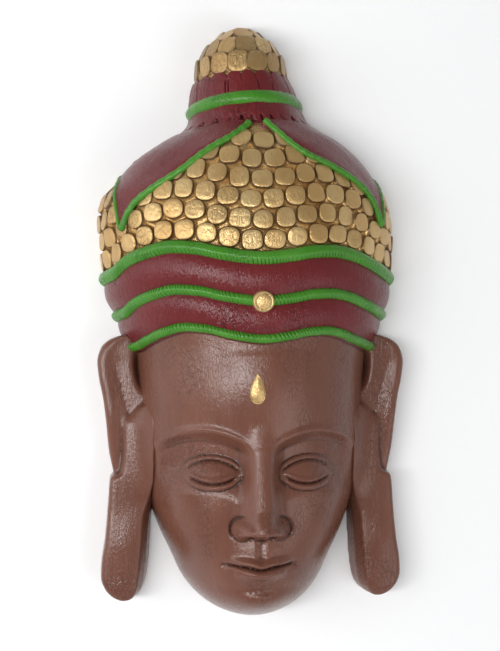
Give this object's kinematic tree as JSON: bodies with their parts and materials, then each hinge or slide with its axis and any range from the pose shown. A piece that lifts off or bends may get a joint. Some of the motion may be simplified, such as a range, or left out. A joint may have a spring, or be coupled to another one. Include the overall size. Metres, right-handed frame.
{
  "type": "decorative mask",
  "caption": "Carved and painted wooden mask of a serene head with long ears, a corded brow band, rows of gold curls, a pointed red cap and a topknot, hollow at the back.",
  "frame": {"origin": "centre of the outline in plan, on the flat back face that the mask lies on", "axes": "+Z out of the face, +Y from the chin up to the topknot, +X to the right as one looks at the face"},
  "size_m": [0.2629, 0.4998, 0.112],
  "materials": {
    "brown_paint": "gloss",
    "maroon_paint": "gloss",
    "green_paint": "gloss",
    "gold_paint": "satin",
    "bare_wood": "matt"
  },
  "bodies": {
    "root": {"mask": "brown_paint"}
  },
  "joints": []
}
